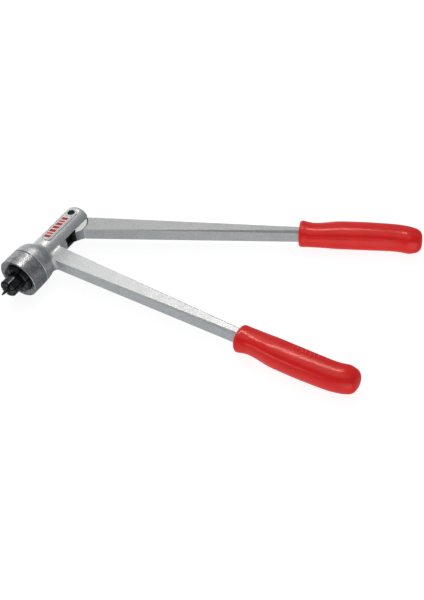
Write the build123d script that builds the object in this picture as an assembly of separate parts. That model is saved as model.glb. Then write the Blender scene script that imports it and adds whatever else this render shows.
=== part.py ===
from build123d import *
import os
from math import cos, radians, sin, tan

# Hand tube expander. Y is the head axis and the jaws point to -Y; X runs out along the handles;
# Z is the pivot-pin axis. The origin is on the head axis at the jaws' shoulder. Millimetres.

# Jaws: a segmented nose that enters the tube, a front shoulder and a captured rear flange
JAW_COUNT = 8
FIRST_SLIT_DEG = 18.0
SLIT = 1.4
NOSE_R = 9.4
NOSE_LENGTH = 14.0
NOSE_CHAMFER = 1.5
SHOULDER_R = 15.1
SHOULDER_LENGTH = 8.3
FLANGE_R = 18.2
FLANGE_LENGTH = 3.7
RING_GROOVE_R = 16.3
RING_WIDTH = 1.6

# Drive cone
CONE_TIP_Y = -22.0
CONE_TIP_R = 0.8
CONE_SLOPE = 0.2
CONE_BASE_Y = 17.0
CONE_JAW_GAP = 0.3
SHAFT_R = 6.0
STUD_R = 4.0

# Head cap, screwed on the casting's spigot
CAP_R = 22.0
CAP_FRONT_Y = 3.0
CAP_REAR_Y = 21.2
CAP_MOUTH_R = 16.0
CAP_RIM_R = 21.0
CAP_LIP_FRONT_Y = 5.0
CAP_LIP_REAR_Y = 8.0
CAP_CHAMBER_R = 19.4
CAP_THREAD_R = 18.6
BACKING_REAR_Y = 14.3
SPIGOT_R = 17.7
SPIGOT_FRONT_Y = 14.6
COLLAR_FRONT_Y = 21.7
EDGE = 0.4

# Casting: collar, neck, ears and fixed arm
SHOULDER_TOP_R = 21.4
SHOULDER_TOP_Y = 29.0
SHOULDER_FOOT_Y = 40.2
ROOT_ROUND = 5.0
ROOT_ZONE_X = 24.0
NECK_R = 14.4
NECK_END_Y = 107.8
NECK_END_ROUND = 5.5
CHAMBER_R = 9.3
CHAMBER_END_Y = 24.0
BUSH_R = 8.2
BUSH_REAR_Y = 44.0
SPRING_BORE_R = 10.6
SPRING_BORE_END_Y = 82.5
SLOT_FRONT_Y = 65.5
SLOT_BACK_X = -11.5
SLOT_HALF = 6.3
PAD_HALF_WIDTH = 6.0
PAD_FRONT_Y = 55.1
PAD_Z = 14.5
PLATE_HALF_WIDTH = 5.3
PLATE_THICKNESS = 0.25

# Pivot and lever
PIVOT_Y = 95.4
PIN_R = 4.0
PIN_RUNNING = 0.05
LEVER_DEG = 21.5
HUB_R = 10.3
TONGUE_HALF = 6.0
PIVOT_BUSH_R = 5.3
RECESS_R = 17.3
RECESS_S = 1.4
RECESS_T = -7.5

# Involute cam on the lever: contact stays at x = CAM_BASE_R while the lever turns
CAM_BASE_R = 8.0
CAM_REACH = 20.0
CAM_OPEN_RAD = -0.75
CAM_CLOSED_RAD = 0.4
CAM_DEPTH = 5.5
CAM_HALF = 4.8
CAM_CLEARANCE = 0.15
DOWEL_R = 1.5
BUTTON_R = 10.0
BUTTON_LENGTH = 6.0

# Arm sections along a handle: distance, outer edge, inner edge and half thickness
ARM_Y = 39.2
ROOT_SECTION = (0.0, 2.2, -16.8, 6.5)
END_SECTION = (239.0, 5.7, -3.6, 8.0)
TANG_SECTION = (344.0, 6.6, 1.0, 4.5)
# The arm's long edges are chamfered: nothing where the bevel starts, full size at the grip
BEVEL_START_S = 24.0
BEVEL_START = -0.1
BEVEL_END = 2.3
BEVEL_TANG = 1.2
BEVEL_MARGIN = 0.5

# Grip stations: distance along the handle, centre offset, half width; the half height follows
GRIP_STATIONS = (
    (238.0, 2.3, 11.2),
    (240.5, 2.3, 12.8),
    (252.0, 1.2, 11.9),
    (275.0, 2.9, 13.3),
    (304.0, 3.7, 13.5),
    (328.0, 3.5, 13.3),
    (346.0, 1.4, 13.0),
    (354.5, 0.8, 11.2),
    (359.3, 0.8, 6.0),
)
GRIP_HEIGHT_RATIO = 0.97


def revolved(points):
    """A solid of revolution about the head axis from (radius, y) corners."""
    return revolve(Plane.XY * make_face(Polyline(*points, close=True)), axis=Axis.Y)


def tube(outer_r, inner_r, y0, y1):
    """A plain sleeve on the head axis."""
    return revolved([(inner_r, y0), (outer_r, y0), (outer_r, y1), (inner_r, y1)])


def cone_r(y):
    """Radius of the drive cone at a place on the head axis."""
    return CONE_TIP_R + CONE_SLOPE * (y - CONE_TIP_Y)


def arm_edge(s, start, end, index):
    """One number of the arm's section at distance s, between two stated sections."""
    share = (s - start[0]) / (end[0] - start[0])
    return start[index] + share * (end[index] - start[index])


def arm_section(section):
    """A plain rectangular arm section standing across the handle."""
    s, outer, inner, half = section
    plane = Plane(origin=(s, (outer + inner) / 2, 0), x_dir=(0, 1, 0), z_dir=(1, 0, 0))
    return plane * Rectangle(outer - inner, 2 * half)


def bevel_section(section, size, side, top):
    """Triangle that a chamfer of one size takes off one corner of a section."""
    s, outer, inner, half = section
    corner = outer if side > 0 else inner
    plane = Plane(origin=(s, corner, top * half), x_dir=(0, side, 0), z_dir=(side * top, 0, 0))
    points = [(BEVEL_MARGIN, BEVEL_MARGIN), (BEVEL_MARGIN, -BEVEL_MARGIN - size),
              (-BEVEL_MARGIN - size, BEVEL_MARGIN)]
    return plane * make_face(Polyline(*points, close=True))


def bevels():
    """The material taken off the arm's and tang's four long edges."""
    start = [arm_edge(BEVEL_START_S, ROOT_SECTION, END_SECTION, i) for i in range(4)]
    cuts = []
    for side in (1, -1):
        for top in (1, -1):
            first = bevel_section(start, BEVEL_START, side, top)
            middle = bevel_section(END_SECTION, BEVEL_END, side, top)
            last = bevel_section(TANG_SECTION, BEVEL_TANG, side, top)
            cuts += [loft([first, middle], ruled=True), loft([middle, last], ruled=True)]
    return cuts


def cut_bevels(solid, place):
    """Chamfer an arm's long edges where it lies."""
    for bevel in bevels():
        solid -= place(bevel)
    return solid


def bare_arm():
    """Square-edged arm and tang in the handle's own frame: X out, +Y away from the other handle."""
    root, end, tang = (arm_section(s) for s in (ROOT_SECTION, END_SECTION, TANG_SECTION))
    return loft([root, end], ruled=True) + loft([end, tang], ruled=True)


def arm():
    """Arm and tang with their edges chamfered."""
    return cut_bevels(bare_arm(), lambda bevel: bevel)


def grip():
    """Dipped grip in the handle's frame, hollow where the tang runs through it."""
    sections = []
    for s, centre, half in GRIP_STATIONS:
        plane = Plane(origin=(s, centre, 0), x_dir=(0, 1, 0), z_dir=(1, 0, 0))
        sections.append(plane * Ellipse(half, half * GRIP_HEIGHT_RATIO))
    return loft(sections) - arm()


def to_fixed(shape):
    """Handle frame to the fixed handle's place: mirrored, with its outer side towards the jaws."""
    return Pos(0, ARM_Y, 0) * mirror(shape, about=Plane.XZ)


def to_lever(shape):
    """Handle frame to the lever's place about the pivot."""
    return Pos(0, PIVOT_Y, 0) * Rot(0, 0, LEVER_DEG) * shape


def racetrack(half_width, front_y, rear_y, z0, z1):
    """A straight slot-shaped pad along the head axis."""
    middle = (front_y + rear_y) / 2
    outline = SlotCenterToCenter(rear_y - front_y, 2 * half_width, rotation=90)
    return extrude(Pos(0, middle, z0) * outline, amount=z1 - z0)


def casting_outside():
    """Collar, shoulder and neck turned about the head axis."""
    with BuildLine() as profile:
        Polyline(
            (0, SPIGOT_FRONT_Y), (SPIGOT_R, SPIGOT_FRONT_Y), (SPIGOT_R, COLLAR_FRONT_Y),
            (CAP_R - EDGE, COLLAR_FRONT_Y), (CAP_R, COLLAR_FRONT_Y + EDGE),
            (SHOULDER_TOP_R, SHOULDER_TOP_Y),
        )
        TangentArc((SHOULDER_TOP_R, SHOULDER_TOP_Y), (NECK_R, SHOULDER_FOOT_Y), tangent=(-0.08, 1))
        Line((NECK_R, SHOULDER_FOOT_Y), (NECK_R, NECK_END_Y - NECK_END_ROUND))
        RadiusArc((NECK_R, NECK_END_Y - NECK_END_ROUND),
                  (NECK_R - NECK_END_ROUND, NECK_END_Y), -NECK_END_ROUND)
        Polyline((NECK_R - NECK_END_ROUND, NECK_END_Y), (0, NECK_END_Y), (0, SPIGOT_FRONT_Y))
    # Half a turn puts the seam on the side away from the arm.
    return Rot(0, 180, 0) * revolve(make_face(profile.line), axis=Axis.Y)


def rounded_casting():
    """Turned outside joined to the arm, with the arm's root and the shoulder's foot rounded."""
    solid = casting_outside() + to_fixed(bare_arm())
    root = [
        edge for edge in solid.edges()
        if SHOULDER_TOP_Y < edge.center().Y < ARM_Y - ROOT_SECTION[2] + 1
        and edge.center().X < ROOT_ZONE_X
        and edge.geom_type != GeomType.LINE
        and (edge @ 0.5).X > -NECK_R + 1
    ]
    return cut_bevels(fillet(root, ROOT_ROUND), to_fixed)


def body_casting():
    """Casting with its bores, pin hole, slot and both racetrack pads."""
    solid = rounded_casting()
    for z0, z1 in ((0, PAD_Z), (-PAD_Z, 0)):
        solid += racetrack(PAD_HALF_WIDTH, PAD_FRONT_Y, PIVOT_Y, z0, z1)
    solid -= racetrack(PAD_HALF_WIDTH, PAD_FRONT_Y, PIVOT_Y, PAD_Z, PAD_Z + 2)
    solid -= tube(CHAMBER_R, 0, SPIGOT_FRONT_Y, CHAMBER_END_Y)
    solid -= tube(BUSH_R, 0, CHAMBER_END_Y, BUSH_REAR_Y)
    solid -= tube(SPRING_BORE_R, 0, BUSH_REAR_Y, SPRING_BORE_END_Y)
    slot_length = NECK_END_Y + 5 - SLOT_FRONT_Y
    slot_width = NECK_R + 3 - SLOT_BACK_X
    slot = Box(slot_width, slot_length, 2 * SLOT_HALF, align=(Align.MIN, Align.MIN, Align.CENTER))
    solid -= Pos(SLOT_BACK_X, SLOT_FRONT_Y, 0) * slot
    return solid - Pos(0, PIVOT_Y, 0) * Cylinder(PIN_R, 4 * NECK_R)


def name_plate():
    """Blank identification plate lying on the upper pad, short of the pin."""
    plate = racetrack(PLATE_HALF_WIDTH, PAD_FRONT_Y, PIVOT_Y, PAD_Z, PAD_Z + PLATE_THICKNESS)
    return plate - Pos(0, PIVOT_Y, PAD_Z) * Cylinder(PLATE_HALF_WIDTH + 0.3, 4)


def pivot_pin():
    """Hardened pin pressed through both ears."""
    pin = Cylinder(PIN_R, 2 * (PAD_Z + 0.1))
    return Pos(0, PIVOT_Y, 0) * chamfer(pin.edges(), EDGE)


def guide_bush():
    """Bronze bush that guides the cone's shaft, with a flange that seats the spring."""
    sleeve = tube(BUSH_R, SHAFT_R + PIN_RUNNING, CHAMBER_END_Y, BUSH_REAR_Y)
    flange = tube(SPRING_BORE_R, SHAFT_R + PIN_RUNNING, BUSH_REAR_Y, BUSH_REAR_Y + 1.5)
    return sleeve + flange


def button_rear_y():
    """Rear face of the thrust button, which the cam pushes."""
    return PIVOT_Y - CAM_REACH - CAM_CLEARANCE


def drive_cone():
    """Tapered mandrel with its shaft and threaded stud."""
    front = button_rear_y() - BUTTON_LENGTH
    return revolved([
        (0, CONE_TIP_Y), (CONE_TIP_R, CONE_TIP_Y + EDGE), (cone_r(CONE_BASE_Y), CONE_BASE_Y),
        (SHAFT_R, CONE_BASE_Y + 1.5), (SHAFT_R, front), (STUD_R, front),
        (STUD_R, front + 4.0), (0, front + 4.0),
    ])


def thrust_button():
    """Disc screwed on the shaft's stud; the cam bears on it."""
    rear = button_rear_y()
    front = rear - BUTTON_LENGTH
    return revolved([
        (STUD_R, front), (BUTTON_R, front), (BUTTON_R, rear - 1), (BUTTON_R - 1, rear),
        (0, rear), (0, front + 4.0), (STUD_R, front + 4.0),
    ])


def return_spring():
    """Space that the compression spring's coils fill round the shaft."""
    front = BUSH_REAR_Y + 1.6
    rear = button_rear_y() - BUTTON_LENGTH - 0.1
    return tube(9.6, 6.6, front, rear)


def head_cap():
    """Screwed cap with a dished face and a lip that captures the jaws."""
    return revolved([
        (CAP_THREAD_R, CAP_REAR_Y), (CAP_THREAD_R, BACKING_REAR_Y),
        (CAP_CHAMBER_R, BACKING_REAR_Y - 0.8), (CAP_CHAMBER_R, CAP_LIP_REAR_Y),
        (CAP_MOUTH_R, CAP_LIP_REAR_Y), (CAP_MOUTH_R, CAP_LIP_FRONT_Y),
        (CAP_RIM_R, CAP_FRONT_Y), (CAP_R - EDGE, CAP_FRONT_Y), (CAP_R, CAP_FRONT_Y + EDGE),
        (CAP_R, CAP_REAR_Y - EDGE), (CAP_R - EDGE, CAP_REAR_Y),
    ])


def backing_ring():
    """Hardened ring between the jaws and the casting's spigot."""
    return tube(CAP_CHAMBER_R - 0.8, CHAMBER_R, SHOULDER_LENGTH + FLANGE_LENGTH + 0.3, BACKING_REAR_Y)


def jaw_ring():
    """Garter ring that draws the jaws together."""
    middle = SHOULDER_LENGTH + FLANGE_LENGTH / 2
    return tube(FLANGE_R - 0.1, RING_GROOVE_R + 0.2, middle - RING_WIDTH / 2, middle + RING_WIDTH / 2)


def jaw_blank():
    """All the jaws as one turned piece, before it is slit."""
    rear = SHOULDER_LENGTH + FLANGE_LENGTH
    bore_front = cone_r(-NOSE_LENGTH) + CONE_JAW_GAP
    bore_rear = cone_r(rear) + CONE_JAW_GAP
    groove_front = SHOULDER_LENGTH + (FLANGE_LENGTH - RING_WIDTH) / 2 - 0.1
    groove_rear = groove_front + RING_WIDTH + 0.2
    return revolved([
        (bore_front, -NOSE_LENGTH), (NOSE_R - NOSE_CHAMFER, -NOSE_LENGTH),
        (NOSE_R, NOSE_CHAMFER - NOSE_LENGTH), (NOSE_R, 0), (SHOULDER_R - 0.8, 0),
        (SHOULDER_R, 0.8), (SHOULDER_R, SHOULDER_LENGTH), (FLANGE_R, SHOULDER_LENGTH),
        (FLANGE_R, groove_front), (RING_GROOVE_R, groove_front), (RING_GROOVE_R, groove_rear),
        (FLANGE_R, groove_rear), (FLANGE_R, rear), (bore_rear, rear),
    ])


def jaw(blank, index):
    """One jaw: a wedge of the blank between two parallel-sided slits."""
    pitch = 360 / JAW_COUNT
    middle = radians(FIRST_SLIT_DEG + pitch * (index + 0.5))
    half = radians(pitch / 2)
    apex = SLIT / 2 / sin(half)
    reach = 40.0
    corners = [(apex, 0), (apex + reach, reach * tan(half)), (apex + reach, -reach * tan(half))]
    turned = [(r * cos(middle) - w * sin(middle), r * sin(middle) + w * cos(middle)) for r, w in corners]
    plane = Plane(origin=(0, -NOSE_LENGTH - 1, 0), x_dir=(1, 0, 0), z_dir=(0, 1, 0))
    # This plane's own Y axis is the model's -Z, so heights change sign.
    outline = plane * make_face(Polyline(*[(x, -z) for x, z in turned], close=True))
    return blank & extrude(outline, amount=NOSE_LENGTH + SHOULDER_LENGTH + FLANGE_LENGTH + 2)


def cam_point(angle, depth=0.0):
    """A point of the involute about the pivot, or of its back at a depth below it."""
    reach = CAM_REACH + CAM_BASE_R * angle - depth
    return (
        CAM_BASE_R * cos(angle) + reach * sin(angle),
        CAM_BASE_R * sin(angle) - reach * cos(angle),
    )


def cam_curve(depth, steps=12):
    """Spline along the involute or its back, from the open end to the closed end."""
    span = CAM_CLOSED_RAD - CAM_OPEN_RAD
    return Spline(*[cam_point(CAM_OPEN_RAD + span * i / steps, depth) for i in range(steps + 1)])


def cam_dowels():
    """Two dowels keyed into the joint line between the cam insert and the lever."""
    return [
        Pos(x, PIVOT_Y + y, 0) * Cylinder(DOWEL_R, 2 * CAM_HALF)
        for x, y in (cam_point(-0.45, CAM_DEPTH), cam_point(0.18, CAM_DEPTH))
    ]


def cam_insert():
    """Hardened pad with the involute face."""
    outer = cam_curve(0.0)
    inner = cam_curve(CAM_DEPTH)
    ends = [Line(outer @ 0, inner @ 0), Line(outer @ 1, inner @ 1)]
    pad = extrude(make_face([outer, inner] + ends), amount=CAM_HALF, both=True)
    pad = fillet(pad.edges().filter_by(Axis.Z).sort_by(SortBy.DISTANCE, reverse=True)[0:1], 1.0)
    pad = Pos(0, PIVOT_Y, 0) * pad
    for dowel in cam_dowels():
        pad -= dowel
    return pad


def lever_tongue():
    """The lever's flat root between the ears, in the model's frame."""
    turn = radians(-LEVER_DEG)
    inner = cam_curve(CAM_DEPTH)

    def local(x, y):
        return (x * cos(turn) - y * sin(turn), x * sin(turn) + y * cos(turn))

    opened = local(*cam_point(CAM_OPEN_RAD, CAM_DEPTH))
    closed = local(*cam_point(CAM_CLOSED_RAD, CAM_DEPTH))
    flank = local(*cam_point(CAM_CLOSED_RAD, CAM_DEPTH * 0.4))
    back = Rot(0, 0, -LEVER_DEG) * inner
    hub = [opened, (-8.4, -6.0), (0, 0), (9.0, 2.9), (36.0, 2.7), (36.0, -14.8), (26.0, -15.3)]
    outline = [Polyline(*hub), Spline((26.0, -15.3), (16.0, -16.2), flank), Line(flank, closed), back]
    web = extrude(make_face(outline), amount=TONGUE_HALF, both=True)
    return web + Cylinder(HUB_R, 2 * TONGUE_HALF)


def lever_arm():
    """Lever forging: tongue, spot-faced step, arm and tang."""
    thick = arm() - Pos(RECESS_S, RECESS_T, 0) * Cylinder(RECESS_R, 40)
    solid = to_lever(lever_tongue() + thick)
    solid -= Pos(0, PIVOT_Y, 0) * Cylinder(PIVOT_BUSH_R, 40)
    for dowel in cam_dowels():
        solid -= dowel
    return solid


def pivot_bush():
    """Bronze bush pressed in the lever; it turns on the pin."""
    bush = Cylinder(PIVOT_BUSH_R, 2 * TONGUE_HALF) - Cylinder(PIN_R + PIN_RUNNING, 40)
    return Pos(0, PIVOT_Y, 0) * bush


def all_parts():
    blank = jaw_blank()
    parts = {
        "body_casting": body_casting(),
        "fixed_grip": to_fixed(grip()),
        "name_plate": name_plate(),
        "pivot_pin": pivot_pin(),
        "guide_bush": guide_bush(),
        "drive_cone": drive_cone(),
        "thrust_button": thrust_button(),
        "return_spring": return_spring(),
        "head_cap": head_cap(),
        "backing_ring": backing_ring(),
        "jaw_ring": jaw_ring(),
        "lever_arm": lever_arm(),
        "lever_grip": to_lever(grip()),
        "pivot_bush": pivot_bush(),
        "cam_insert": cam_insert(),
    }
    for index, dowel in enumerate(cam_dowels()):
        parts[f"cam_dowel_{index + 1}"] = dowel
    for index in range(JAW_COUNT):
        parts[f"jaw_{index + 1}"] = jaw(blank, index)
    return parts


os.makedirs("parts", exist_ok=True)
for name, part in all_parts().items():
    export_step(part, f"parts/{name}.step")
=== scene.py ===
import math

import bmesh
import bpy
from mathutils import Matrix, Vector


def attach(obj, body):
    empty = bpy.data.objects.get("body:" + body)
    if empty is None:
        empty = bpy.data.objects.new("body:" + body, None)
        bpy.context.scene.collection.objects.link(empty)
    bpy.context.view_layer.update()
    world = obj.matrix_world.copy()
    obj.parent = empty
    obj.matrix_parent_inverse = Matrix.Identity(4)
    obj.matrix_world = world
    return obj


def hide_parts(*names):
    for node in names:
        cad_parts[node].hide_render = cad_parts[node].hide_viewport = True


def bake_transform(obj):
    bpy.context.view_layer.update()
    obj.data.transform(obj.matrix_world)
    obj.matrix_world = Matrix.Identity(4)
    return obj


MM = 0.001

# Sizes that the pieces share with the CAD part, in millimetres
PIVOT_Y = 95.4
LEVER_DEG = 21.5
ARM_Y = 39.2
PAD_Z = 14.5
PLATE_FRONT_Y = 55.1
PLATE_HALF = 5.3
SPIGOT_R = 17.7
SPIGOT_FRONT_Y = 14.6
COLLAR_FRONT_Y = 21.7
THREAD_CREST_R = 18.35
THREAD_PITCH = 1.5
SPRING_FRONT_Y = 45.6
SPRING_REAR_Y = 69.15
SPRING_R = 8.1
WIRE_R = 1.4
CAP_R = 22.0
RING_R = 17.2
RING_Y = 10.15
CORD_R = 0.75
ARC_DEG = 41.2
JAW_COUNT = 8
FIRST_SLIT_DEG = 18.0

# Grip: distance along the handle, centre offset and half width at each station
GRIP_START = 238.0
GRIP_LENGTH = 121.2
GRIP_STATIONS = (
    (238.2, 2.3, 11.8), (240.5, 2.3, 12.7), (246.0, 1.7, 12.1), (252.0, 1.2, 11.8),
    (262.0, 1.8, 12.2), (275.0, 2.9, 13.2), (290.0, 3.4, 13.35), (304.0, 3.7, 13.35),
    (328.0, 3.7, 13.0), (338.0, 3.0, 12.9), (346.0, 1.4, 12.9), (351.0, 1.0, 12.0),
    (354.8, 0.8, 10.7), (357.6, 0.8, 8.3), (358.9, 0.8, 5.0),
)
GRIP_HEIGHT_RATIO = 0.97
GRIP_POWER = 2.45
GRIP_SAMPLES = 5
# The lowest point of a grip as the tool lies, in the handle's own frame
GRIP_LOW = (338.0, 4.2, -13.1)
# Ribs on the fixed grip: how many, where the first is, how far apart, lean and height
RIB_COUNT = 7
RIB_FIRST = 294.0
RIB_PITCH = 4.2
RIB_LEAN = 0.4
RIB_HEIGHT = 0.65
# Spot face round the lever's tongue, on the model's XY plane
SPOT_R = 17.2
SPOT_CENTRE = (4.05 * MM, 88.93 * MM, 0)
SPOT_Z = 6.0
# Arm under the grip: distance, outer edge, inner edge, half height, chamfer
TANG = ((238.0, 5.7, -3.6, 8.0, 2.3), (344.2, 6.6, 1.0, 4.5, 1.2))
SOCKET_END = 344.1

# Camera: the point it is turned to, its distance and its angles
AIM = (0.1900, 0.0662, 0.0)
CAMERA_DISTANCE = 0.9540
AZIMUTH_DEG = 37.545
ELEVATION_DEG = 46.029
ROLL_DEG = -7.796


def feed(links, socket, value):
    """Links a socket to another one or sets it to a constant."""
    if isinstance(value, bpy.types.NodeSocket):
        links.new(value, socket)
    else:
        socket.default_value = value


def socket_by(sockets, identifier):
    """The socket with this identifier, on nodes that repeat their sockets' names."""
    return next(s for s in sockets if s.identifier == identifier)


class Finish:
    """One procedural material, built node by node on a Principled shader."""

    def __init__(self, name, **sockets):
        self.material = bpy.data.materials.new(name)
        self.material.use_nodes = True
        self.nodes = self.material.node_tree.nodes
        self.links = self.material.node_tree.links
        self.surface = self.nodes["Principled BSDF"]
        for socket, value in sockets.items():
            self.surface.inputs[socket.replace("_", " ")].default_value = value
        self.place = self.nodes.new("ShaderNodeTexCoord").outputs["Object"]

    def node(self, kind, **sockets):
        """A new node with its named inputs linked or set."""
        made = self.nodes.new(kind)
        for socket, value in sockets.items():
            feed(self.links, made.inputs[socket.replace("_", " ")], value)
        return made

    def axes(self):
        """The X, Y and Z of a point in the piece's own frame."""
        return self.node("ShaderNodeSeparateXYZ", Vector=self.place).outputs

    def stretched(self, x, y, z):
        """The point's place scaled along each axis, for streaks."""
        made = self.node("ShaderNodeMapping", Vector=self.place)
        made.inputs["Scale"].default_value = (x, y, z)
        return made.outputs["Vector"]

    def noise(self, size_mm, detail=3.0, roughness=0.55, vector=None):
        """Fractal noise with features of about this size."""
        made = self.node("ShaderNodeTexNoise", Vector=vector or self.place,
                         Scale=1 / (size_mm * MM), Detail=detail, Roughness=roughness)
        return made.outputs["Fac"]

    def span(self, value, low, high, to_low=0.0, to_high=1.0):
        """The value mapped from one range to another and clamped."""
        made = self.node("ShaderNodeMapRange", Value=value, From_Min=low, From_Max=high,
                         To_Min=to_low, To_Max=to_high)
        return made.outputs["Result"]

    def math(self, a, b, operation):
        """One Math node on two values."""
        made = self.nodes.new("ShaderNodeMath")
        made.operation = operation
        for socket, value in zip(made.inputs, (a, b)):
            feed(self.links, socket, value)
        return made.outputs["Value"]

    def sum(self, a, b):
        return self.math(a, b, "ADD")

    def product(self, a, b):
        return self.math(a, b, "MULTIPLY")

    def blend(self, share, first, second):
        """The first colour passing into the second as the share goes from 0 to 1."""
        made = self.nodes.new("ShaderNodeMix")
        made.data_type = "RGBA"
        feed(self.links, socket_by(made.inputs, "Factor_Float"), share)
        for identifier, colour in (("A_Color", first), ("B_Color", second)):
            if isinstance(colour, tuple):
                colour = (*colour, 1)
            feed(self.links, socket_by(made.inputs, identifier), colour)
        return socket_by(made.outputs, "Result_Color")

    def edges(self, radius_mm, low=0.02, high=0.25):
        """How near a point is to a convex or concave edge, from 0 to 1."""
        bevel = self.node("ShaderNodeBevel", Radius=radius_mm * MM)
        bevel.samples = 6
        normal = self.nodes.new("ShaderNodeNewGeometry").outputs["Normal"]
        made = self.nodes.new("ShaderNodeVectorMath")
        made.operation = "DOT_PRODUCT"
        self.links.new(bevel.outputs["Normal"], made.inputs[0])
        self.links.new(normal, made.inputs[1])
        bent = self.math(1.0, made.outputs["Value"], "SUBTRACT")
        return self.span(bent, low, high)

    def hollows(self, reach_mm, shallow, deep):
        """How far a point is shut in by what surrounds it, from 0 to 1."""
        shut = self.node("ShaderNodeAmbientOcclusion", Distance=reach_mm * MM)
        shut.samples = 8
        return self.span(shut.outputs["AO"], shallow, deep)

    def bump(self, height, depth_mm, strength, after=None):
        """A normal bent by a height, on top of another bent normal if there is one."""
        made = self.node("ShaderNodeBump", Height=height, Distance=depth_mm * MM, Strength=strength)
        if after:
            self.links.new(after, made.inputs["Normal"])
        return made.outputs["Normal"]

    def drive(self, **sockets):
        """Links the shader's inputs and gives the finished material."""
        for socket, value in sockets.items():
            self.links.new(value, self.surface.inputs[socket.replace("_", " ")])
        return self.material


def machined_zone(f):
    """Shares of the lever's spot face, the foot of the step round it, where a shadow is painted, and
    the tongue's flanks, where shade is painted.
    """
    on_plane = f.node("ShaderNodeVectorMath", Vector=f.place)
    on_plane.operation = "MULTIPLY"
    on_plane.inputs[1].default_value = (1, 1, 0)
    away = f.nodes.new("ShaderNodeVectorMath")
    away.operation = "DISTANCE"
    f.links.new(on_plane.outputs["Vector"], away.inputs[0])
    away.inputs[1].default_value = SPOT_CENTRE
    distance = away.outputs["Value"]
    near = f.span(distance, SPOT_R * MM, (SPOT_R - 0.2) * MM)
    foot = f.span(distance, (SPOT_R - 1.7) * MM, (SPOT_R - 1.1) * MM)
    height = f.math(f.axes()["Z"], 0, "ABSOLUTE")
    flat = f.product(f.span(height, (SPOT_Z + 0.3) * MM, (SPOT_Z + 0.2) * MM),
                     f.span(height, (SPOT_Z - 0.15) * MM, (SPOT_Z - 0.05) * MM))
    machined = f.product(near, flat)
    flank_shade = f.product(near, f.span(height, (SPOT_Z + 0.1) * MM, (SPOT_Z - 0.3) * MM))
    return machined, f.product(machined, foot), flank_shade


def cast_aluminium(name, spot_faced=False):
    """Tumbled casting: fine grain over broad waves, painted highlights along the edges and painted
    shade in corners and hollows.
    """
    f = Finish(name, Metallic=0.82, Specular_IOR_Level=0.5)
    grain = f.noise(1.0, 3.0, 0.75)
    cloud = f.noise(14.0, 2.0, 0.5)
    level = 0.74 if spot_faced else 1.0
    dark = tuple(level * channel for channel in (0.50, 0.51, 0.525))
    light = tuple(level * channel for channel in (0.80, 0.795, 0.785))
    tone = f.blend(f.span(grain, 0.36, 0.64), dark, light)
    tone = f.blend(f.span(cloud, 0.35, 0.65, 0.0, 0.22), tone, dark)
    rough = f.span(f.sum(grain, cloud), 0.7, 1.3, 0.34, 0.50)
    if not spot_faced:
        # Painted shade at the arm's root where it curves into the neck, and streaked stains with
        # painted shade on the collar
        x, y, _ = f.axes()
        streak = f.noise(3.0, 4.0, 0.7, f.stretched(0.5, 1.6, 0.5))
        root = f.product(f.span(x, 44 * MM, 24 * MM), f.span(x, 12 * MM, 20 * MM))
        root = f.product(root, f.span(streak, 0.3, 0.7, 0.4, 0.9))
        collar_stain_and_shade = f.product(f.span(y, 47 * MM, 34 * MM), f.span(streak, 0.40, 0.60, 0.1, 1.0))
        collar_stain_and_shade = f.product(collar_stain_and_shade, f.span(x, 27 * MM, 20 * MM))
        tone = f.blend(root, tone, (0.40, 0.41, 0.42))
        tone = f.blend(collar_stain_and_shade, tone, (0.34, 0.35, 0.355))
    # Painted highlight: lighter along the edges
    tone = f.blend(f.edges(0.8), tone, (0.90, 0.895, 0.885))
    if spot_faced:
        machined, step_shadow, flank_shade = machined_zone(f)
        # Painted shade on the tongue's flanks; the spot face itself is lighter machined metal
        tone = f.blend(flank_shade, tone, (0.27, 0.285, 0.30))
        tone = f.blend(machined, tone, (0.70, 0.695, 0.675))
        # Painted shadow: a thin dark ring at the bottom of the step round the spot face
        tone = f.blend(step_shadow, tone, (0.05, 0.05, 0.05))
    # Painted shade: darker in corners and narrow gaps, near black deep inside the slot and bores
    tone = f.blend(f.hollows(2.2, 0.75, 0.3), tone, (0.10, 0.10, 0.105))
    tone = f.blend(f.hollows(9.0, 0.5, 0.2), tone, (0.02, 0.02, 0.022))
    pits = f.bump(f.noise(0.4, 2.0), 0.03, 0.8)
    waves = f.bump(f.noise(2.4, 4.0, 0.6), 0.09, 0.8, pits)
    return f.drive(Base_Color=tone, Roughness=rough, Normal=waves)


def turned_steel():
    """Satin turned steel: fine rings round the head axis, darker stains, painted highlights along the
    edges and painted shade in hollows.
    """
    f = Finish("turned_steel", Metallic=0.85)
    x, y, z = f.axes()
    radius = f.math(f.sum(f.product(x, x), f.product(z, z)), 0.5, "POWER")
    joined = f.node("ShaderNodeCombineXYZ", X=radius, Y=y)
    rings = f.noise(0.22, 2.0, 0.6, joined.outputs["Vector"])
    cloud = f.noise(5.0, 5.0, 0.65)
    grain = f.noise(1.8, 5.0, 0.7)
    tone = f.blend(f.span(f.sum(rings, grain), 0.86, 1.14), (0.22, 0.23, 0.24), (0.50, 0.505, 0.51))
    tone = f.blend(f.span(cloud, 0.44, 0.62, 0.0, 0.8), tone, (0.18, 0.18, 0.18))
    # Painted highlight along the edges, then painted shade in hollows
    tone = f.blend(f.edges(0.6), tone, (0.92, 0.92, 0.92))
    tone = f.blend(f.hollows(2.0, 0.7, 0.3), tone, (0.07, 0.07, 0.075))
    rough = f.span(f.sum(rings, cloud), 0.7, 1.3, 0.26, 0.40)
    return f.drive(Base_Color=tone, Roughness=rough, Normal=f.bump(rings, 0.014, 0.7))


def black_oxide(name, shine, low, high):
    """Oiled black oxide on hardened steel, rubbed to grey at its edges."""
    f = Finish(name, Specular_IOR_Level=shine)
    mottle = f.noise(1.6, 4.0, 0.6)
    tone = f.blend(f.span(mottle, 0.35, 0.7), (0.003, 0.003, 0.004), (0.010, 0.010, 0.013))
    tone = f.blend(f.edges(0.25, 0.08, 0.6), tone, (0.06, 0.065, 0.07))
    return f.drive(Base_Color=tone, Roughness=f.span(mottle, 0.3, 0.7, low, high),
                   Normal=f.bump(f.noise(0.3, 2.0), 0.004, 0.5))


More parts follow.
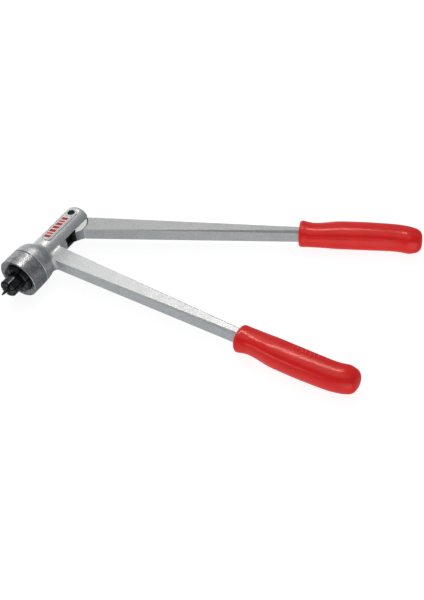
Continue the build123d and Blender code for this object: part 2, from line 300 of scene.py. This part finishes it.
def ground_steel():
    """Ground hardened steel with fine straight marks."""
    f = Finish("hardened_steel", Metallic=1.0)
    marks = f.noise(0.5, 3.0, 0.6, f.stretched(1.0, 1.0, 0.05))
    tone = f.blend(f.span(marks, 0.3, 0.7), (0.40, 0.40, 0.41), (0.56, 0.56, 0.57))
    return f.drive(Base_Color=tone, Roughness=f.span(marks, 0.3, 0.7, 0.24, 0.36),
                   Normal=f.bump(marks, 0.006, 0.6))


def bronze():
    """Machined bearing bronze, slightly tarnished."""
    f = Finish("bronze", Metallic=1.0)
    stain = f.noise(2.5, 4.0, 0.6)
    tone = f.blend(f.span(stain, 0.35, 0.7), (0.52, 0.33, 0.13), (0.70, 0.48, 0.22))
    return f.drive(Base_Color=tone, Roughness=f.span(stain, 0.3, 0.7, 0.28, 0.46),
                   Normal=f.bump(f.noise(0.25, 2.0), 0.006, 0.6))


def spring_wire():
    """Oil-tempered spring wire with drawing marks."""
    f = Finish("spring_steel", Metallic=1.0)
    marks = f.noise(0.4, 3.0, 0.6)
    tone = f.blend(f.span(marks, 0.3, 0.7), (0.16, 0.16, 0.17), (0.32, 0.31, 0.30))
    return f.drive(Base_Color=tone, Roughness=f.span(marks, 0.3, 0.7, 0.3, 0.45),
                   Normal=f.bump(marks, 0.006, 0.5))


def red_vinyl():
    """Glossy dipped vinyl: deep red, faint orange-peel, tiny scuffs."""
    f = Finish("red_grip", Specular_IOR_Level=0.6, Specular_Tint=(1.0, 0.6, 0.54, 1.0))
    cloud = f.noise(16.0, 2.0)
    scuff = f.noise(1.2, 5.0, 0.7)
    tone = f.blend(f.span(cloud, 0.3, 0.7), (0.78, 0.010, 0.010), (0.86, 0.013, 0.012))
    tone = f.blend(f.span(scuff, 0.60, 0.82, 0.0, 0.3), tone, (0.60, 0.010, 0.010))
    rough = f.span(f.sum(cloud, scuff), 0.7, 1.35, 0.20, 0.24)
    peel = f.bump(f.noise(3.0, 2.0, 0.5), 0.003, 0.3)
    return f.drive(Base_Color=tone, Roughness=rough,
                   Normal=f.bump(f.noise(0.25, 2.0), 0.003, 0.4, peel))


def plate_white():
    """White baked enamel with faint yellowing."""
    f = Finish("plate", Specular_IOR_Level=0.3)
    age = f.noise(5.0, 3.0)
    tone = f.blend(f.span(age, 0.4, 0.7, 0.0, 1.0), (0.90, 0.90, 0.89), (0.84, 0.82, 0.78))
    return f.drive(Base_Color=tone, Roughness=f.span(age, 0.3, 0.7, 0.22, 0.34),
                   Normal=f.bump(f.noise(0.5, 2.0), 0.004, 0.4))


def enamel(name, dark, light):
    """Thin enamel for the printed marks on the plate, and for the dark line of painted shadow round
    its edge.
    """
    f = Finish(name, Specular_IOR_Level=0.3)
    age = f.noise(0.8, 3.0)
    tone = f.blend(f.span(age, 0.3, 0.7), dark, light)
    return f.drive(Base_Color=tone, Roughness=f.span(age, 0.3, 0.7, 0.25, 0.38),
                   Normal=f.bump(age, 0.003, 0.4))


def ring_rubber():
    """Matt rubber of the garter ring."""
    f = Finish("jaw_ring_rubber")
    grain = f.noise(0.4, 3.0)
    tone = f.blend(f.span(grain, 0.3, 0.7), (0.012, 0.012, 0.012), (0.035, 0.035, 0.034))
    return f.drive(Base_Color=tone, Roughness=f.span(grain, 0.3, 0.7, 0.6, 0.8),
                   Normal=f.bump(grain, 0.01, 0.6))


def mesh_object(name, build, material, smooth_deg):
    """A piece from a function that fills a bmesh, in metres in the row frame."""
    mesh = bpy.data.meshes.new(name)
    bm = bmesh.new()
    build(bm)
    bmesh.ops.recalc_face_normals(bm, faces=bm.faces)
    bm.to_mesh(mesh)
    bm.free()
    made = bpy.data.objects.new(name, mesh)
    bpy.context.scene.collection.objects.link(made)
    mesh.materials.append(material)
    mesh.shade_smooth()
    mesh.set_sharp_from_angle(angle=math.radians(smooth_deg))
    return made


def bridge(bm, first, second):
    """Quads between two closed rings of the same length."""
    count = len(first)
    for i in range(count):
        j = (i + 1) % count
        bm.faces.new((first[i], first[j], second[j], second[i]))


def ring_of(bm, points):
    """New vertices at these points, in their order."""
    return [bm.verts.new(p) for p in points]


def smooth_stations(stations, per_span):
    """Catmull-Rom samples of a table whose first column increases."""
    rows = [stations[0], *stations, stations[-1]]
    samples = []
    for k in range(1, len(rows) - 2):
        p0, p1, p2, p3 = rows[k - 1:k + 3]
        for i in range(per_span):
            u = i / per_span
            samples.append(tuple(
                0.5 * (2 * b + (c - a) * u + (2 * a - 5 * b + 4 * c - d) * u * u
                       + (3 * b - a - 3 * c + d) * u ** 3)
                for a, b, c, d in zip(p0, p1, p2, p3)))
    return samples + [stations[-1]]


def around_axis(r, angle, y):
    """A point at a radius and an angle about the head axis, in metres."""
    return Vector((r * math.cos(angle), y, r * math.sin(angle))) * MM


def superellipse(angle, half_t, half_z):
    """A point of a grip's rounded-square section."""
    c, s = math.cos(angle), math.sin(angle)
    t = math.copysign(abs(c) ** (2 / GRIP_POWER), c) * half_t
    z = math.copysign(abs(s) ** (2 / GRIP_POWER), s) * half_z
    return t, z


def tang_reach(s, angle):
    """How far a tang's chamfered section reaches from its middle at an angle, and that middle."""
    (s0, *a), (s1, *b) = TANG
    share = (s - s0) / (s1 - s0)
    outer, inner, half_z, chamfer = (x + share * (y - x) for x, y in zip(a, b))
    half_t = (outer - inner) / 2
    c, z = abs(math.cos(angle)), abs(math.sin(angle))
    reach = min(half_t / c if c > 1e-9 else 1e9, half_z / z if z > 1e-9 else 1e9)
    return min(reach, (half_t + half_z - chamfer) / (c + z)), (outer + inner) / 2


def grip_builder(place, stretch):
    """A dipped grip: rolled lip, swelling palm, closed end and a blind socket for the tang."""
    around = 96

    def section(bm, s, centre, half):
        points = []
        for i in range(around):
            t, z = superellipse(2 * math.pi * i / around, half, half * GRIP_HEIGHT_RATIO)
            along = GRIP_START + (s - GRIP_START) * stretch
            points.append(place @ Vector((along, centre + t, z)) * MM)
        return ring_of(bm, points)

    def socket(bm, s, gap):
        points = []
        for i in range(around):
            angle = 2 * math.pi * i / around
            reach, centre = tang_reach(s, angle)
            reach += gap
            across, z = centre + reach * math.cos(angle), reach * math.sin(angle)
            points.append(place @ Vector((s, across, z)) * MM)
        return ring_of(bm, points)

    def build(bm):
        rings = [section(bm, *row) for row in smooth_stations(GRIP_STATIONS, GRIP_SAMPLES)]
        end_centre = GRIP_STATIONS[-1][1]
        tip = GRIP_START + GRIP_LENGTH * stretch
        pole = bm.verts.new(place @ Vector((tip, end_centre, 0)) * MM)
        for first, second in zip(rings, rings[1:]):
            bridge(bm, first, second)
        for i in range(around):
            bm.faces.new((rings[-1][i], rings[-1][(i + 1) % around], pole))
        lip = [section(bm, GRIP_START, 2.2, 11.2), section(bm, GRIP_START + 0.05, 2.1, 10.6)]
        bores = [socket(bm, s, gap) for s, gap in (
            (238.5, 0.9), (239.4, 0.35), (244.0, 0.12), (300.0, 0.12), (SOCKET_END, 0.12))]
        inward = [rings[0], *lip, *bores]
        for first, second in zip(inward, inward[1:]):
            bridge(bm, second, first)
        centre = tang_reach(SOCKET_END, 0)[1]
        back = bm.verts.new(place @ Vector((SOCKET_END, centre, 0)) * MM)
        for i in range(around):
            bm.faces.new((bores[-1][(i + 1) % around], bores[-1][i], back))

    return build


def ribs_builder(place):
    """Plain slanted ribs moulded on top of a grip's palm, half-round with faded ends."""
    rows = smooth_stations(GRIP_STATIONS, GRIP_SAMPLES)
    first_across, step, steps = -5.2, 0.65, 10

    def on_palm(s, across, lift):
        """A point at a height above the grip's surface."""
        k = next(i for i in range(len(rows) - 1) if rows[i + 1][0] >= s)
        (s0, *a), (s1, *b) = rows[k:k + 2]
        centre, half = (x + (s - s0) / (s1 - s0) * (y - x) for x, y in zip(a, b))
        slope = abs((across - centre) / half) ** GRIP_POWER
        z = half * GRIP_HEIGHT_RATIO * (1 - slope) ** (1 / GRIP_POWER)
        return place @ Vector((s, across, z + lift)) * MM

    def build(bm):
        for number in range(RIB_COUNT):
            sections = []
            for i in range(steps + 1):
                across = step * i + first_across
                middle = RIB_FIRST + RIB_PITCH * number + RIB_LEAN * across
                top = RIB_HEIGHT if 0 < i < steps else 0.0
                shoulder = 0.55 * top
                profile = ((-1.15, -0.3), (-0.75, shoulder), (0, top), (0.75, shoulder), (1.15, -0.3))
                points = [on_palm(middle + aside, across, lift) for aside, lift in profile]
                sections.append(ring_of(bm, points))
            for first, second in zip(sections, sections[1:]):
                bridge(bm, first, second)
            bm.faces.new(sections[0])
            bm.faces.new(list(reversed(sections[-1])))

    return build


def racetrack_points(half, front_y, rear_y):
    """Outline of a straight-sided pad, its rear end cut back round the pin."""
    steps = 24
    points = []
    for i in range(steps + 1):
        a = math.pi + math.pi * i / steps
        points.append((half * math.cos(a), front_y + half * math.sin(a)))
    clear = PLATE_HALF + 0.45
    span = math.asin(min(1.0, half / clear))
    for i in range(steps + 1):
        a = -math.pi / 2 + span - 2 * span * i / steps
        points.append((clear * math.cos(a), rear_y + clear * math.sin(a)))
    return points


def sheet_builder(outline, z0, z1):
    """A thin plate from an outline, its upper edge slightly broken."""
    edge = 0.06

    def build(bm):
        low = ring_of(bm, [Vector((x, y, z0)) * MM for x, y in outline])
        middle = ring_of(bm, [Vector((x, y, z1 - edge)) * MM for x, y in outline])
        y_low = min(y for x, y in outline) + 0.1
        y_high = max(y for x, y in outline) - 0.1
        top = ring_of(bm, [Vector((x * 0.985, min(max(y, y_low), y_high), z1)) * MM
                           for x, y in outline])
        bridge(bm, low, middle)
        bridge(bm, middle, top)
        bm.faces.new(top)
        bm.faces.new(list(reversed(low)))

    return build


def band_builder(outer, inner, z0, z1):
    """A raised line between two outlines with the same number of points."""

    def build(bm):
        rings = [ring_of(bm, [Vector((x, y, z)) * MM for x, y in outline])
                 for outline, z in ((outer, z0), (outer, z1), (inner, z1), (inner, z0))]
        for first, second in zip(rings, rings[1:] + rings[:1]):
            bridge(bm, first, second)

    return build


def marks_builder(z0, z1):
    """A plain row of slanted bars of two widths, standing for printing."""
    widths = (3.9, 2.2, 3.9, 3.9, 3.9, 2.2, 3.9)
    gap, half_x, lean = 1.5, 3.45, 0.8
    start = PLATE_FRONT_Y - 1.6

    def build(bm):
        y = start
        for width in widths:
            corners = [(-half_x, y - lean), (half_x, y + lean), (half_x, y + width + lean),
                       (-half_x, y + width - lean)]
            low = ring_of(bm, [Vector((x, v, z0)) * MM for x, v in corners])
            top = ring_of(bm, [Vector((x * 0.97, v, z1)) * MM for x, v in corners])
            bridge(bm, low, top)
            bm.faces.new(top)
            bm.faces.new(list(reversed(low)))
            y += width + gap

    return build


def coil_builder():
    """Compression spring round the cone's shaft, with closed and ground ends."""
    turns, around, steps = 6.5, 14, 44
    dead_turns, dead_rise = 0.9, 0.12
    front, rear = SPRING_FRONT_Y + WIRE_R * 0.55, SPRING_REAR_Y - WIRE_R * 0.55

    def build(bm):
        rings = []
        total = int(turns * steps)
        for k in range(total + 1):
            u = k / total
            turn = u * turns
            if turn < dead_turns:
                rise = dead_rise * turn / dead_turns
            elif turn > turns - dead_turns:
                rise = 1 - dead_rise * (turns - turn) / dead_turns
            else:
                live = (turn - dead_turns) / (turns - 2 * dead_turns)
                rise = dead_rise + (1 - 2 * dead_rise) * live
            y = front + rise * (rear - front)
            a = 2 * math.pi * turn
            ring = []
            for i in range(around):
                b = 2 * math.pi * i / around
                height = max(min(WIRE_R * math.sin(b) + y, SPRING_REAR_Y), SPRING_FRONT_Y)
                ring.append(around_axis(SPRING_R + WIRE_R * math.cos(b), a, height))
            rings.append(ring_of(bm, ring))
        for first, second in zip(rings, rings[1:]):
            bridge(bm, first, second)
        bm.faces.new(rings[0])
        bm.faces.new(list(reversed(rings[-1])))

    return build


def arc_builder(middle_deg):
    """One jaw's length of the garter ring's cord, bent about the head axis."""
    steps, around = 18, 20

    def build(bm):
        rings = []
        for k in range(steps + 1):
            a = math.radians(middle_deg + ARC_DEG * (k / steps - 0.5))
            ring = []
            for i in range(around):
                b = 2 * math.pi * i / around
                r = RING_R + CORD_R * math.cos(b)
                ring.append(around_axis(r, a, RING_Y + CORD_R * math.sin(b)))
            rings.append(ring_of(bm, ring))
        for first, second in zip(rings, rings[1:]):
            bridge(bm, first, second)
        bm.faces.new(rings[0])
        bm.faces.new(list(reversed(rings[-1])))

    return build


def thread_builder():
    """The spigot's screw thread: a triangular ridge that fades out at both ends."""
    steps, fade_turns = 72, 0.25
    root = SPIGOT_R - 0.15
    first_y, last_y = SPIGOT_FRONT_Y + 0.7, COLLAR_FRONT_Y - 1.2
    turns = (last_y - first_y) / THREAD_PITCH

    def build(bm):
        total = int(turns * steps)
        previous = None
        for k in range(total + 1):
            turn = k / steps
            y = first_y + turn * THREAD_PITCH
            fade = min(1.0, turn / fade_turns, (turns - turn) / fade_turns)
            crest = SPIGOT_R + (THREAD_CREST_R - SPIGOT_R) * max(0.06, fade)
            a = 2 * math.pi * turn
            profile = ((root, -0.62), (crest, -0.12), (crest, 0.12), (root, 0.62))
            section = ring_of(bm, [around_axis(r, a, y + aside) for r, aside in profile])
            if previous:
                bridge(bm, previous, section)
            else:
                bm.faces.new(section)
            previous = section
        bm.faces.new(list(reversed(previous)))

    return build


def assign(node, material):
    """Gives a CAD node its finish without touching its mesh's shape."""
    materials = node.data.materials
    materials.clear()
    materials.append(material)


def area_light(name, place, aim, width, height, power, tint=(1, 1, 1)):
    """A rectangular lamp turned to a point."""
    data = bpy.data.lights.new(name, "AREA")
    data.shape = "RECTANGLE"
    data.size, data.size_y = width, height
    data.energy = power
    data.color = tint
    light = bpy.data.objects.new(name, data)
    light.location = place
    toward = Vector(aim) - Vector(place)
    light.rotation_euler = toward.to_track_quat("-Z", "Y").to_euler()
    bpy.context.scene.collection.objects.link(light)


def soft_panel(tree, light, aim, inner_deg, outer_deg, colour):
    """Adds a round, soft-edged bright patch of sky to the light so far."""
    facing = tree.nodes.new("ShaderNodeVectorMath")
    facing.operation = "DOT_PRODUCT"
    direction = tree.nodes.new("ShaderNodeTexCoord").outputs["Generated"]
    tree.links.new(direction, facing.inputs[0])
    facing.inputs[1].default_value = Vector(aim).normalized()
    share = tree.nodes.new("ShaderNodeMapRange")
    share.interpolation_type = "SMOOTHSTEP"
    tree.links.new(facing.outputs["Value"], share.inputs["Value"])
    share.inputs["From Min"].default_value = math.cos(math.radians(outer_deg))
    share.inputs["From Max"].default_value = math.cos(math.radians(inner_deg))
    patch = tree.nodes.new("ShaderNodeVectorMath")
    patch.operation = "SCALE"
    patch.inputs[0].default_value = colour
    tree.links.new(share.outputs["Result"], patch.inputs["Scale"])
    total = tree.nodes.new("ShaderNodeVectorMath")
    feed(tree.links, total.inputs[0], light)
    tree.links.new(patch.outputs["Vector"], total.inputs[1])
    return total.outputs["Vector"]


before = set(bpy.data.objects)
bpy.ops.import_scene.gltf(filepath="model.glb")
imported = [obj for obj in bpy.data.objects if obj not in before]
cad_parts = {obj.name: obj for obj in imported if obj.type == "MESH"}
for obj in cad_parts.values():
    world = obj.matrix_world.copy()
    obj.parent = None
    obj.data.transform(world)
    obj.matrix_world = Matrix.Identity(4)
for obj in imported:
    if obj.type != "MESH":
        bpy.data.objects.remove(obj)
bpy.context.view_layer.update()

aluminium = cast_aluminium("cast_aluminium")
lever_aluminium = cast_aluminium("lever_aluminium", True)
steel = turned_steel()
black = black_oxide("black_oxide_steel", 0.4, 0.12, 0.22)
dull_black = black_oxide("pin_black", 0.15, 0.35, 0.5)
ground = ground_steel()
bearing = bronze()
wire = spring_wire()
red = red_vinyl()
white = plate_white()
red_mark = enamel("plate_red", (0.50, 0.02, 0.025), (0.62, 0.035, 0.04))
# The dark line round the plate's edge is a painted shadow of the pad's step
plate_edge_shadow = enamel("plate_edge_shadow_line", (0.05, 0.045, 0.05), (0.10, 0.09, 0.10))
rubber = ring_rubber()

CAD_FINISHES = {
    "body_casting": (aluminium, "cast_aluminium"),
    "lever_arm": (lever_aluminium, "cast_aluminium"),
    "head_cap": (steel, "turned_steel"),
    "pivot_pin": (dull_black, "black_oxide_steel"),
    "cam_insert": (dull_black, "black_oxide_steel"),
    "drive_cone": (black, "black_oxide_steel"),
    "thrust_button": (dull_black, "black_oxide_steel"),
    "guide_bush": (bearing, "bronze"),
    "pivot_bush": (bearing, "bronze"),
    "cam_dowel_1": (ground, "hardened_steel"),
    "cam_dowel_2": (ground, "hardened_steel"),
    "backing_ring": (ground, "hardened_steel"),
}
for number in range(1, JAW_COUNT + 1):
    CAD_FINISHES[f"jaw_{number}"] = (black, "black_oxide_steel")
for node_name, (finish, slot_name) in CAD_FINISHES.items():
    assign(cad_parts[node_name], finish)

# From a handle's own frame to the tool's, in millimetres; the fixed arm is a mirror image
to_fixed = Matrix.Translation((0, ARM_Y, 0)) @ Matrix.Diagonal((1, -1, 1, 1))
to_lever = Matrix.Translation((0, PIVOT_Y, 0)) @ Matrix.Rotation(math.radians(LEVER_DEG), 4, "Z")
for name, place, stretch, body, node_name in (
    ("fixed_grip_vinyl", to_fixed, 0.99, "tool_body", "fixed_grip"),
    ("lever_grip_vinyl", to_lever, 1.0, "lever", "lever_grip"),
):
    grip = mesh_object(name, grip_builder(place, stretch), red, 50)
    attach(grip, body)
    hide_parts(node_name)

ribs = mesh_object("fixed_grip_ribs", ribs_builder(to_fixed), red, 70)
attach(ribs, "tool_body")

outline = racetrack_points(PLATE_HALF, PLATE_FRONT_Y, PIVOT_Y)
border_outer = racetrack_points(PLATE_HALF - 0.35, PLATE_FRONT_Y, PIVOT_Y - 0.4)
border_inner = racetrack_points(PLATE_HALF - 0.75, PLATE_FRONT_Y, PIVOT_Y - 0.8)
plate = mesh_object("plate_enamel", sheet_builder(outline, PAD_Z, PAD_Z + 0.2), white, 30)
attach(plate, "tool_body")
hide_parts("name_plate")
# Dark band round the plate's edge: a painted shadow of the pad's step
band = band_builder(border_outer, border_inner, PAD_Z + 0.1, PAD_Z + 0.23)
border = mesh_object("plate_edge_shadow_band", band, plate_edge_shadow, 30)
marks = mesh_object("plate_marks", marks_builder(PAD_Z + 0.1, PAD_Z + 0.24), red_mark, 30)
for piece in (border, marks):
    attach(piece, "tool_body")

spring = mesh_object("spring_coil", coil_builder(), wire, 60)
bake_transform(spring)
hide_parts("return_spring")

for number in range(1, JAW_COUNT + 1):
    facing_deg = FIRST_SLIT_DEG + 360 / JAW_COUNT * (number - 0.5)
    arc = mesh_object(f"garter_arc_{number}", arc_builder(facing_deg), rubber, 50)
    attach(arc, f"jaw_{number}_body")
    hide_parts("jaw_ring")

thread = mesh_object("spigot_thread", thread_builder(), aluminium, 40)
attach(thread, "tool_body")

# Floor: it touches the head cap and both grips, so it leans a little under the tool
low_cap = Vector((0, 12, -CAP_R)) * MM
low_fixed, low_lever = ((place @ Vector(GRIP_LOW)) * MM for place in (to_fixed, to_lever))
normal = (low_fixed - low_cap).cross(low_lever - low_cap).normalized()
floor_half = 4


def build_floor(bm):
    corners = []
    for x, y in ((-1, -1), (1, -1), (1, 1), (-1, 1)):
        corner = Vector((x * floor_half, y * floor_half, low_cap.z))
        slope = normal.x * (corner.x - low_cap.x) + normal.y * (corner.y - low_cap.y)
        corner.z -= slope / normal.z
        corners.append(corner)
    bm.faces.new(ring_of(bm, corners))


floor_finish = Finish("floor", Base_Color=(0.2, 0.2, 0.2, 1), Roughness=0.9, Specular_IOR_Level=0.1,
                      Emission_Color=(1, 1, 1, 1), Emission_Strength=0.9)
floor = mesh_object("floor", build_floor, floor_finish.material, 30)
floor.visible_glossy = False

# Camera at the photograph's viewing angle
camera_data = bpy.data.cameras.new("camera")
camera_data.lens = 60.0
camera_data.sensor_width = 36.0
camera_data.sensor_fit = "AUTO"
camera_data.clip_start = 0.01
camera_data.clip_end = 30
camera = bpy.data.objects.new("camera", camera_data)
bpy.context.scene.collection.objects.link(camera)
turned = (Matrix.Rotation(math.radians(AZIMUTH_DEG), 4, "Z")
          @ Matrix.Rotation(math.radians(90 - ELEVATION_DEG), 4, "X")
          @ Matrix.Rotation(math.radians(ROLL_DEG), 4, "Z"))
camera.matrix_world = (Matrix.Translation(AIM) @ turned
                       @ Matrix.Translation((0, 0, CAMERA_DISTANCE)))
bpy.context.scene.camera = camera

area_light("key", (-0.62, 0.72, 1.25), (0.15, 0.05, 0), 0.8, 0.6, 0.9)
area_light("strip", (-0.18, 0.48, 1.10), (0.25, 0.05, 0), 0.7, 0.09, 3.4, (1.0, 0.96, 0.90))
area_light("top", (0.1, -0.1, 1.7), (0.15, 0.08, 0), 1.4, 1.4, 4.0)
area_light("fill", (-0.5, -1.3, 0.35), (0.1, 0.05, 0), 0.8, 0.35, 1.8, (0.94, 0.97, 1.0))

# World: soft bright patches over a plain grey, and plain white where the camera looks past it all
world = bpy.data.worlds.new("studio")
world.use_nodes = True
bpy.context.scene.world = world
tree = world.node_tree
sky = (0.24, 0.26, 0.275)
for aim, inner_deg, outer_deg, colour in (
    ((-0.42, 0.40, 0.80), 15, 60, (0.20, 0.20, 0.19)),
    ((-0.84, 0.54, 0.0), 10, 38, (0.75, 0.75, 0.75)),
    ((0.60, -0.78, -0.22), 10, 44, (1.2, 1.2, 1.18)),
    ((-0.42, -0.55, -0.72), 15, 55, (0.24, 0.25, 0.26)),
):
    sky = soft_panel(tree, sky, aim, inner_deg, outer_deg, colour)
backdrop = tree.nodes.new("ShaderNodeMix")
backdrop.data_type = "VECTOR"
seen = tree.nodes.new("ShaderNodeLightPath").outputs["Is Camera Ray"]
for identifier, value in (("Factor_Float", seen), ("A_Vector", sky), ("B_Vector", (1, 1, 1))):
    feed(tree.links, socket_by(backdrop.inputs, identifier), value)
background = tree.nodes["Background"]
tree.links.new(socket_by(backdrop.outputs, "Result_Vector"), background.inputs["Color"])
background.inputs["Strength"].default_value = 1.0

bpy.context.scene.view_settings.view_transform = "Standard"
bpy.context.scene.view_settings.look = "None"
